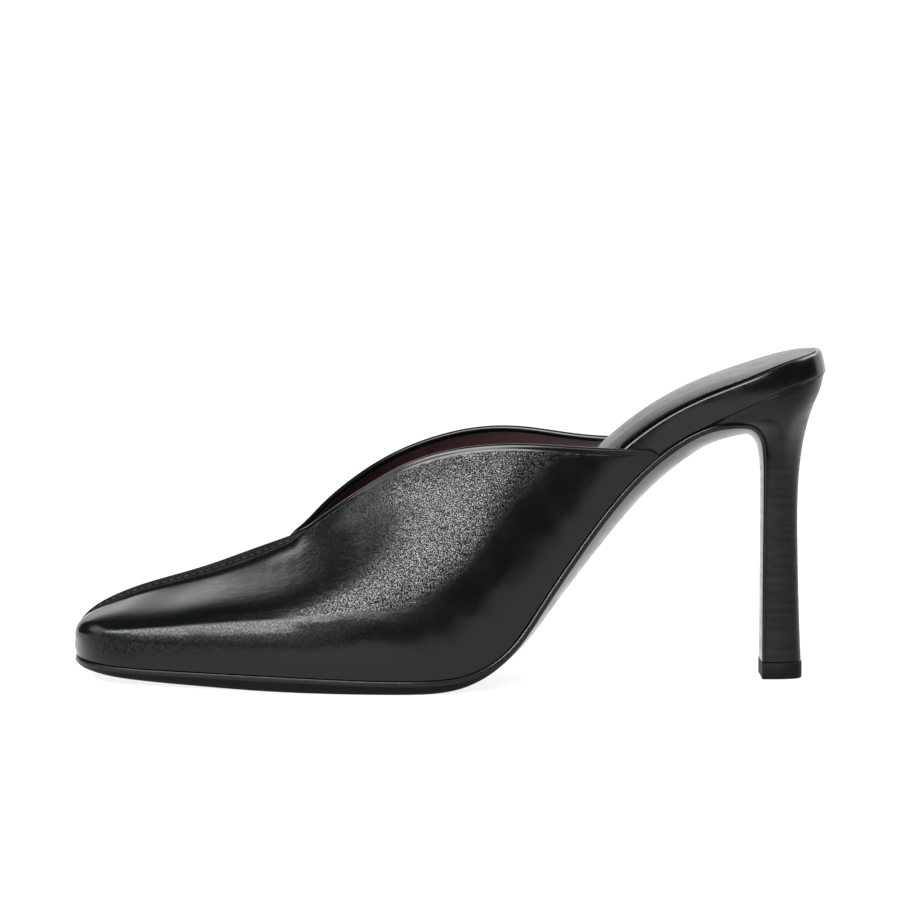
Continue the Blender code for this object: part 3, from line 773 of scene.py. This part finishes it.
def stitch_tree(material):
    """Resamples the path, and sets an oval stitch on every point, lying along it."""
    tree = bpy.data.node_groups.new("stitch_row", "GeometryNodeTree")
    tree.interface.new_socket("Geometry", in_out="INPUT", socket_type="NodeSocketGeometry")
    for name in ("Spacing", "Stitch Length", "Thread"):
        tree.interface.new_socket(name, in_out="INPUT", socket_type="NodeSocketFloat")
    tree.interface.new_socket("Geometry", in_out="OUTPUT", socket_type="NodeSocketGeometry")
    given = tree.nodes.new("NodeGroupInput").outputs
    curve = add(tree, "GeometryNodeMeshToCurve", {"Mesh": given["Geometry"]}).outputs["Curve"]
    even_inputs = {"Curve": curve, "Length": given["Spacing"]}
    even = add(tree, "GeometryNodeResampleCurve", even_inputs, mode="LENGTH")
    tangent = add(tree, "GeometryNodeInputTangent").outputs["Tangent"]
    turn = add(tree, "FunctionNodeAlignRotationToVector", {"Vector": tangent}, axis="X")
    oval = add(tree, "GeometryNodeMeshUVSphere", {"Segments": 8, "Rings": 5, "Radius": 0.5})
    sizes = {"X": given["Stitch Length"], "Y": given["Thread"], "Z": given["Thread"]}
    size = add(tree, "ShaderNodeCombineXYZ", sizes).outputs["Vector"]
    vary = add(tree, "FunctionNodeRandomValue", data_type="FLOAT")
    for name, value in {"Min": 0.9, "Max": 1.1, "Seed": 7}.items():
        next(s for s in vary.inputs if s.name == name and s.enabled).default_value = value
    amount = next(s for s in vary.outputs if s.enabled)
    scaled = add(tree, "ShaderNodeVectorMath", {0: size, 3: amount}, operation="SCALE")
    inputs = {
        "Points": even.outputs["Curve"],
        "Instance": oval.outputs["Mesh"],
        "Rotation": turn.outputs["Rotation"],
        "Scale": scaled.outputs["Vector"],
    }
    laid = add(tree, "GeometryNodeInstanceOnPoints", inputs).outputs["Instances"]
    real = add(tree, "GeometryNodeRealizeInstances", {"Geometry": laid}).outputs["Geometry"]
    done = add(tree, "GeometryNodeSetMaterial", {"Geometry": real, "Material": material})
    tree.links.new(done.outputs["Geometry"], tree.nodes.new("NodeGroupOutput").inputs["Geometry"])
    return tree


def lay_stitches(name, paths, tree):
    """A plain mesh of stitches along each path, given in millimetres of the last."""
    data, spots, edges = bpy.data.meshes.new(name + "_path"), [], []
    for path in paths:
        edges += [(i + len(spots), i + len(spots) + 1) for i in range(len(path) - 1)]
        spots += place(path).tolist()
    data.from_pydata(spots, edges, [])
    guide = in_scene(name + "_path", data)
    rows = guide.modifiers.new("stitches", "NODES")
    rows.node_group = tree
    sizes = {"Spacing": STITCH_SPACING, "Stitch Length": STITCH_LENGTH, "Thread": THREAD}
    for item in tree.interface.items_tree:
        if item.name in sizes:
            rows[item.identifier] = sizes[item.name] * MM
    made = bpy.data.meshes.new_from_object(guide.evaluated_get(bpy.context.evaluated_depsgraph_get()))
    bpy.data.objects.remove(guide)
    made.shade_smooth()
    print(name, len(made.polygons), "faces")
    return in_scene(name, made)


seam_walls = [wall[STITCHED_RIBS] for wall in ridge_walls]
stitches = lay_stitches("stitches", seam_walls, stitch_tree(thread))
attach(stitches, "root")

# %% [markdown]
# ### Lining
# Inside, a thin dark red leather runs from the feather line up to the folded edge. It is its own
# closed skin, half a millimetre thick, and stops just short of the fold so that a fine line shows.

# %% Lining
LINING_ROWS, LINING_RIM = 20, (2.2, 1.9, 1.55, 1.2)
LINING_REAR = 0.985
LINING_OUTSIDE, LINING_INSIDE = 0.99, 1.56
lining_places = places[::2]
lining_places = lining_places[lining_places < LINING_REAR]
lining_places[np.abs(lining_places - throat).argmin()] = throat
patches = []
for side in SIGN:
    v = row_places(side, lining_places, LINING_RIM, LINING_ROWS)
    on_seam = (lining_places <= throat)[:, None]
    v = np.where(on_seam, v + (1 - v[:, -1:]) * smooth_step(0.5, 1, v / v[:, -1:]), v)
    face = rib_points(side, lining_places, v)
    normals = surface_normals(side, lining_places, face)
    outside = face - normals * LINING_OUTSIDE
    inside = face - normals * LINING_INSIDE
    patches += [(outside, 0), (inside, 0), (np.stack((outside[:, 0], inside[:, 0]), axis=1), 0)]
    behind_throat = lining_places >= throat
    rim = np.stack((outside[behind_throat, -1], inside[behind_throat, -1]), axis=1)
    patches.append((rim, 0))
lining = sew("lining", patches, [finishes["lining_leather"]])
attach(lining, "root")

# %% [markdown]
# ## Strips with a worked edge
# Board, sock and sole are all strips that follow a curved path and have a shaped edge. Offsetting the
# outline inward keeps an edge's profile the same all round, even over the rounded toe and seat, where
# simply narrowing the section would smear it.

# %% Edge loft
END_STEPS = 24


def strip(name, runs, halves, rows, lift, round_end, materials, cuts=()):
    """A closed strip, its rows given as (inset, share of the way to the spine, height).

    A height may be a function of the run, for rows whose thickness follows the point they move to.
    Each material runs up to the row of its cut.
    """
    patches = []
    reach = SEAT_ROUND * 0.6
    last = runs[-1] - reach if round_end else runs[-1]
    spine = np.clip(runs, runs[0] + reach, last)
    for side in SIGN:
        line = np.stack((runs, halves[side]), axis=-1)
        tangent = np.gradient(line, axis=0)
        inward = unit(np.stack((tangent[:, 1], -tangent[:, 0]), axis=-1))
        inward[0] = (1, 0)
        inward[-1] = (-1, 0) if round_end else (0, -1)
        grid = []
        for inset, share, height in rows:
            moved = line + inward * np.broadcast_to(inset, runs.shape)[:, None]
            moved[:, 1] = np.maximum(moved[:, 1], 0)
            moved[0, 1] = 0
            if round_end:
                moved[-1, 1] = 0
            run = moved[:, 0] * (1 - share) + spine * share
            out = moved[:, 1] * (1 - share)
            grid.append(lift(run, SIGN[side] * out, height(run) if callable(height) else height))
        borders = [0, *cuts, len(rows) - 1]
        for kind, (start, stop) in enumerate(zip(borders, borders[1:])):
            patches.append((np.array(grid[start : stop + 1]), kind))
    return sew(name, patches, materials)


def stations(last, round_seat, steps):
    """Stations from the toe's tip to last, crowded into the rounded ends."""
    turns = np.linspace(0, math.pi / 2, END_STEPS + 1)
    stop = last - SEAT_ROUND if round_seat else last
    parts = [TOE_ROUND - TOE_ROUND * np.cos(turns)[:-1], np.linspace(TOE_ROUND, stop, steps + 1)]
    if round_seat:
        parts.append(stop + SEAT_ROUND * np.sin(turns)[1:])
    return np.concatenate(parts)


def on_last(run, out, height):
    """A point so far up the normal from the feather line."""
    spine, normal = feather_frame(run)
    return spine + normal * np.broadcast_to(height, np.shape(run))[..., None] + points(0, out, 0)


# %% [markdown]
# ## The footbed board
# The foot stands on a stiff board wrapped in leather. At the seat its edge is on show, as tall as a
# pencil is thick, and the wrap is drawn over both arrises. It is lofted from its outline.

# %% Board
FOOTBED = (
    ("along", "board", "inset", "pad"),
    (0, 2.4, 2.4, 1.2),
    (60, 2.5, 2.4, 1.5),
    (100, 3.0, 2.4, 1.6),
    (117, 4.4, 2.4, 1.6),
    (131, 6.6, 2.4, 1.6),
    (149, 8.9, 2.4, 2.2),
    (160, 9.2, 2.4, 3.2),
    (170, 8.5, 2.4, 3.6),
    (180, 8.0, 1.7, 3.5),
    (190, 7.7, 0.5, 3.0),
    (205, 7.1, 0.3, 2.0),
    (216, 6.8, 0.3, 0.9),
    (226, 6.6, 0.3, 0.4),
)
footbed = read(FOOTBED)
runs = stations(LAST_LENGTH, True, 150)
halves = {side: half_width(side, runs) for side in SIGN}
inset, thick = footbed["inset"](runs), footbed["board"](runs)
UNDER = 0.1
HOLLOW = 0.3


def board_top(run):
    return GAP + footbed["board"](run)


def board_hollow(run):
    return board_top(run) - HOLLOW


top = board_top(runs)
board_profile = [
    (0.9, 1, UNDER),
    (0.9, 0.5, UNDER),
    (0.9, 0, UNDER),
    (0.2, 0, UNDER + 0.02),
    (0.05, 0, UNDER + 0.14),
    (0, 0, UNDER + 0.4),
    (-0.12, 0, GAP + thick * 0.3),
    (-0.16, 0, GAP + thick * 0.5),
    (-0.1, 0, GAP + thick * 0.7),
    (-0.06, 0, top - 0.75),
    (0, 0, top - 0.5),
    (0.13, 0, top - 0.26),
    (0.32, 0, top - 0.08),
    (0.58, 0, top),
    (0.86, 0, top - 0.06),
    (1.2, 0, top - HOLLOW),
    (2.3, 0, board_hollow),
    (2.3, 0.5, board_hollow),
    (2.3, 1, board_hollow),
]
board_rows = [(inset + more, share, height) for more, share, height in board_profile]
board = strip("insole", runs, halves, board_rows, on_last, True, [finishes["wrap_leather"]])
settle(board, "insole")

# %% [markdown]
# ## The padded sock
# On the board lies a thin padded sock that the foot touches. It is thickest over the waist, thins
# out toward the back and is crowned across. Its edge is turned under, so a dark groove shows all
# round between it and the board's wrap.

# %% Sock
SHOULDER = 9.0
CROWN = 0.16
SOCK_EDGE = 0.33
SOCK_INSET = 1.5
EDGE_LEAN = 0.16
sock_inset = inset + SOCK_INSET
shoulder = np.minimum(SHOULDER, 0.6 * np.minimum(halves["lateral"], halves["medial"]))


def sock_floor(run):
    return board_top(run) + 0.02


def pad_share(rise):
    """The height of this share of the pad's thickness, wherever a row has been moved to."""
    return lambda run: sock_floor(run) + footbed["pad"](run) * rise


floor, pad = sock_floor(runs), footbed["pad"](runs)
sock_rows = [
    (sock_inset + shoulder, 1, sock_floor),
    (sock_inset + shoulder, 0.5, sock_floor),
    (sock_inset + shoulder * 0.3, 0, floor),
    (sock_inset + 0.6, 0, floor),
    (sock_inset + 0.15, 0, floor + pad * 0.04),
    (sock_inset, 0, floor + pad * 0.12),
    (sock_inset, 0, floor + pad * 0.24),
    (sock_inset + 0.06, 0, floor + pad * 0.32),
]
for share in np.linspace(0, 1, 14) ** 1.3:
    rise = SOCK_EDGE + (1 - CROWN - SOCK_EDGE) * (1 - (1 - share) ** 2)
    sock_rows.append((sock_inset + EDGE_LEAN + shoulder * share, 0.0, pad_share(rise)))
for share in (0.12, 0.25, 0.4, 0.55, 0.75, 1.0):
    rise = 1 - CROWN * (1 - share) ** 2
    sock_rows.append((sock_inset + EDGE_LEAN + shoulder, share, pad_share(rise)))
sock = strip("sock", runs, halves, sock_rows, on_last, True, [finishes["sock_leather"]])
settle(sock, "sock")

# %% [markdown]
# ## The sole
# A leather sole: flat tread at the ball, crowned along the waist, and thinned to a flap that is glued
# down the front of the heel. Its edge is trimmed square for a millimetre under the upper, and turned
# under below that.

# %% The sole's path
WING = 180
BREAST = (
    ("along", "height", "half_width", "edge", "belly"),
    (187.3, 76.3, 22.8, 1.6, 5.1),
    (193.0, 77.9, 22.0, 1.6, 4.6),
    (198.8, 78.1, 20.0, 1.5, 3.6),
    (203.6, 76.8, 16.2, 1.3, 2.5),
    (206.3, 73.8, 12.6, 1.2, 1.5),
    (207.5, 69.0, 9.8, 1.1, 0.7),
    (207.9, 60.0, 7.8, 1.0, 0.4),
    (207.9, 35.0, 6.8, 1.0, 0.3),
    (207.9, 5.3, 7.2, 1.0, 0.2),
)
path_rows = [
    (along, height, outline["lateral"](along), outline["medial"](along), edge, belly)
    for along, height, edge, belly in FEATHER[1:]
    if along <= WING
]
wing_row = len(path_rows) - 1
path_rows += [(along, height, half, half, *rest) for along, height, half, *rest in BREAST[1:]]
path_rows = np.array(path_rows, float)
steps = np.hypot(np.diff(path_rows[:, 0]), np.diff(path_rows[:, 1]))
knots = np.concatenate(([0], np.cumsum(steps)))
path = {
    name: spline(knots, path_rows[:, i])
    for i, name in enumerate(("along", "height", "lateral", "medial", "edge", "belly"))
}
wing_run, end_run = knots[wing_row], knots[-1]
print("sole is", round(float(end_run)), "mm long, its wings at", round(float(wing_run)))


def path_frame(run):
    """A point of the sole's upper face, and the normal that points away from the floor side."""
    point, ahead = (
        points(path["along"](at), 0, path["height"](at)) for at in (run - 0.05, run + 0.05)
    )
    tangent = unit(ahead - point)
    return (point + ahead) / 2, points(-tangent[..., 2], 0, tangent[..., 0])


def on_sole(run, out, height):
    """A point so far up the normal from the sole's upper face, and never below the floor."""
    spine, normal = path_frame(np.maximum(run, 0))
    spots = spine + normal * np.broadcast_to(height, np.shape(run))[..., None] + points(0, out, 0)
    spots[..., 2] = np.maximum(spots[..., 2], 0)
    return spots


# %% Sole
BEVEL_ROWS = (7, 10)
runs = stations(end_run, False, 300)
spine, _ = path_frame(runs)
halves = {
    side: np.where(runs < wing_run, half_width(side, spine[:, 0]), path[side](runs)) for side in SIGN
}
edge, belly = path["edge"](runs), path["belly"](runs)
square = np.minimum(1.3, edge * 0.62)
under = np.minimum(1.5, edge * 0.6)
sole_rows = [
    (0.5, 1, 0),
    (0.5, 0.5, 0),
    (0.3, 0, 0),
    (0.06, 0, -0.08),
    (0, 0, -0.25),
    (0, 0, -square * 0.6),
    (0.03, 0, -square),
    (0.16, 0, -square - 0.14),
    (under * 0.35, 0, -square - (edge - square) * 0.45),
    (under * 0.7, 0, -square - (edge - square) * 0.8),
    (under, 0, -edge),
]
for share in (0.06, 0.14, 0.25, 0.4, 0.55, 0.7, 0.85, 1.0):
    sole_rows.append((under, share, -edge - belly * (1 - (1 - share) ** 2)))
sole_looks = [finishes[name] for name in ("sole_dressing", "sole_bevel", "sole_bottom")]
outsole = strip("outsole", runs, halves, sole_rows, on_sole, False, sole_looks, BEVEL_ROWS)
settle(outsole, "outsole")

# %% [markdown]
# ## The heel
# The heel is as wide as the seat at its top and drawn in to a slim stem, with a flat front that the
# sole's flap covers. It is lofted through sections that lie square to the flap.

# %% Heel sections
HEEL = (
    ("breast", "back", "back_height", "middle_half", "power"),
    (0, 225.2, 92.2, 25.4, 2.7),
    (5, 224.9, 91.0, 25.1, 2.7),
    (10, 224.4, 89.4, 24.2, 2.7),
    (15, 223.6, 87.0, 22.4, 2.7),
    (19, 222.4, 84.2, 19.4, 2.8),
    (24, 220.9, 79.8, 15.0, 3.0),
    (30, 219.5, 74.0, 11.3, 3.2),
    (38, 218.3, 66.0, 8.7, 3.4),
    (48, 217.6, 54.5, 7.4, 3.5),
    (62, 217.8, 36.0, 6.9, 3.5),
    (76, 218.3, 19.0, 7.1, 3.5),
    (88, 218.9, 5.3, 7.4, 3.5),
)
heel_sections = read(HEEL)
HEEL_TIP = 189.5
HEEL_ROWS, HEEL_STEPS = 110, 26
HEEL_PACKING = 1.25
BREAST_LENGTH, STEM_POWER = HEEL[-1][0], HEEL[-1][4]
CLEARANCE = 0.02
SEAT_BLEND = (12, 0.15)


def crowded(steps):
    """Shares from 0 to 1, close together at the end."""
    return np.sin(math.pi / 2 * np.linspace(0, 1, steps + 1))


def bridge(edge):
    """A flat patch between an edge on one side and its mirror image on the other."""
    other = edge * (1, -1, 1)
    return np.stack([edge, (edge + other) / 2, other], axis=1)


def heel_ring(row):
    """One section of the heel, half of it on each side, from the flap round to the back."""
    down = BREAST_LENGTH * (row / (HEEL_ROWS - 1)) ** HEEL_PACKING
    tip = wing_run + (HEEL_TIP - WING) / (path["along"](wing_run + 1) - path["along"](wing_run))
    run = tip + (end_run - tip) * down / BREAST_LENGTH
    spine, normal = path_frame(run)
    front = spine + normal * CLEARANCE
    back = points(heel_sections["back"](down), 0, heel_sections["back_height"](down))
    depth = crowded(HEEL_STEPS)
    spots = front + (back - front) * depth[:, None]
    under_board = feather["height"](spots[:, 0]) - 0.05
    seat = (1 - smooth_step(0, SEAT_BLEND[0], down)) * smooth_step(0, SEAT_BLEND[1], depth)
    spots[:, 2] += seat * (under_board - spots[:, 2])
    front_half = (path["lateral"](run) + path["medial"](run)) / 2
    middle_half, power = heel_sections["middle_half"](down), heel_sections["power"](down)
    half = front_half + (middle_half - front_half) * np.sin(math.pi * np.minimum(depth, 0.5))
    half *= np.maximum(1 - depth**power, 0) ** (1 / power)
    return spots, half


# %% Heel
rings = [heel_ring(row) for row in range(HEEL_ROWS)]
spots, half = (np.array([ring[i] for ring in rings]) for i in (0, 1))
walls = [spots + points(0, sign * half, 0) for sign in SIGN.values()]
edges = (walls[0][:, 0], walls[0][0], walls[0][-1])
heel_patches = [(patch, 0) for patch in (*walls, *map(bridge, edges))]
heel = sew("heel", heel_patches, [finishes["stacked_leather"]])
settle(heel, "heel")

# %% [markdown]
# ## The top lift
# The heel ends in a small rubber lift that can be changed when it is worn. It is a plain block with
# its arrises just broken.

# %% Top lift
LIFT_PROFILE = (
    ("height", "scale"),
    (0, 0),
    (0, 0.955),
    (0.12, 0.985),
    (0.4, 1),
    (4.7, 1),
    (4.93, 0.985),
    (5, 0.955),
    (5, 0),
)
LIFT_STEPS = 40
depth = crowded(LIFT_STEPS)
half = LIFT_HALF * np.maximum(1 - depth**STEM_POWER, 0) ** (1 / STEM_POWER)
middle = (LIFT_FRONT + LIFT_BACK) / 2
from_middle = LIFT_FRONT + (LIFT_BACK - LIFT_FRONT) * depth - middle
walls = []
for sign in SIGN.values():
    rows = [
        points(middle + from_middle * scale, sign * half * scale, height)
        for height, scale in LIFT_PROFILE[1:]
    ]
    walls.append(np.array(rows))
lift_patches = [(patch, 0) for patch in (*walls, bridge(walls[0][:, 0]))]
lift = sew("top_lift", lift_patches, [finishes["lift_rubber"]])
settle(lift, "top_lift")

# %% [markdown]
# ## Studio
# Pale floor and backdrop, one broad soft light from the camera's side, and three lesser ones that
# draw the edges. Black leather shows what it mirrors, so the dark gaps matter as much as the lights.

# %% Floor, backdrop and world
WHITE = (1, 1, 1, 1)


def rising_glow(name, axis, low, high, glow_low, glow_high, fade=None):
    """A black cloth that glows, from one strength to another along an axis of its own.

    With a fade (from, to), it dies away between those two places.
    """
    cloth, tree, shader = finish(name, (0, 0, 0), Roughness=1.0, Emission_Color=WHITE)
    along = add(tree, "ShaderNodeSeparateXYZ", {0: object_space(tree)}).outputs[axis]
    strength = spread(tree, along, low, high, glow_low, glow_high)
    if fade:
        start, end = fade
        ends = {"Value": along, "From Min": start, "From Max": end, "To Min": 1.0, "To Max": 0.05}
        soft = add(tree, "ShaderNodeMapRange", ends, interpolation_type="SMOOTHSTEP")
        strength = math_node(tree, "MULTIPLY", strength, soft.outputs["Result"])
    feed(shader, Emission_Strength=strength)
    return cloth


def panel(name, corners, material):
    """A flat stage piece with these corners."""
    data = bpy.data.meshes.new(name)
    data.from_pydata(corners, [], [tuple(range(len(corners)))])
    data.materials.append(material)
    made = in_scene(name, data)
    return made


PALE_GREY = (0.1, 0.1, 0.1)
paper, *_ = finish("paper", PALE_GREY, Roughness=0.9, Emission_Color=WHITE, Emission_Strength=0.86)
screen = rising_glow("screen", "Z", 0.7, 1.3, 1.15, 2.9, fade=(1.0, 2.15))
panel("floor", [(-3, -1, 0), (3, -1, 0), (3, 1.7, 0), (-3, 1.7, 0)], paper)
panel("backdrop", [(-1.5, 1.7, 0), (3, 1.7, 0), (3, 1.7, 2.9), (-1.5, 1.7, 2.9)], screen)

# The room is white where the camera sees it, and dark where the leather does.
ROOM_GREY = (0.04, 0.04, 0.04, 1)
world = bpy.data.worlds.new("room")
bpy.context.scene.world = world
world.use_nodes = True
tree = world.node_tree
seen = add(tree, "ShaderNodeLightPath").outputs["Is Camera Ray"]
shade = add(tree, "ShaderNodeMix", {0: seen, 6: ROOM_GREY, 7: WHITE}, data_type="RGBA")
tree.links.new(shade.outputs[2], tree.nodes["Background"].inputs["Color"])

# %% Light and camera
TARGET_ALONG, TARGET_HEIGHT = 113, 68.6
LIGHT_DISTANCE = 1.5
CAMERA_LENS, CAMERA_ELEVATION, CAMERA_DISTANCE = 159.5, 5.2, 1.2
target = Vector(place((TARGET_ALONG, 0, TARGET_HEIGHT)))


def from_target(azimuth, elevation, distance):
    """A place seen from the target: azimuth 0 is the camera's side, positive toward the heel."""
    a, e = math.radians(azimuth), math.radians(elevation)
    toward = Vector((math.sin(a) * math.cos(e), -math.cos(a) * math.cos(e), math.sin(e)))
    return target + toward * distance


def light_panel(name, facing, corners, glow_low, glow_high, fade=None):
    """A glowing cloth that faces the target, graded from bottom to top, and unseen by the camera.

    Facing and corners are (azimuth, elevation) pairs, as seen from the target.
    """
    centre = from_target(*facing, LIGHT_DISTANCE)
    turn = (centre - target).to_track_quat("Z", "Y").to_matrix()
    rays = [turn.transposed() @ (from_target(*corner, 1) - target) for corner in corners]
    spots = [(ray.x / ray.z * LIGHT_DISTANCE, ray.y / ray.z * LIGHT_DISTANCE, 0) for ray in rays]
    heights = [spot[1] for spot in spots]
    cloth = rising_glow(name + "_cloth", "Y", min(heights), max(heights), glow_low, glow_high, fade)
    made = panel(name, spots, cloth)
    made.location = centre
    made.rotation_euler = turn.to_euler()
    made.visible_camera = False


SOFTBOX = [(-62, 27), (-45, 19), (9, 15), (19, 36), (-14, 57), (-60, 57)]
light_panel("softbox", (-25, 40), SOFTBOX, 17.6, 19.6, fade=(-0.1, 0.62))
light_panel("side_panel", (-80, 30), [(-100, 20), (-64, 20), (-63, 44), (-100, 44)], 3.0, 4.0)
light_panel("rim_panel", (112, 40), [(84, 22), (140, 22), (140, 56), (84, 56)], 8.0, 8.0)
light_panel("reflector", (-50, 10), [(-84, 0), (-18, 0), (-22, 17), (-84, 17)], 1.0, 3.2)

camera = in_scene("camera", bpy.data.cameras.new("camera"))
camera.data.lens = CAMERA_LENS
camera.location = from_target(0, CAMERA_ELEVATION, CAMERA_DISTANCE)
camera.rotation_euler = (target - camera.location).to_track_quat("-Z", "Y").to_euler()
bpy.context.scene.camera = camera
bpy.context.scene.view_settings.view_transform = "Standard"
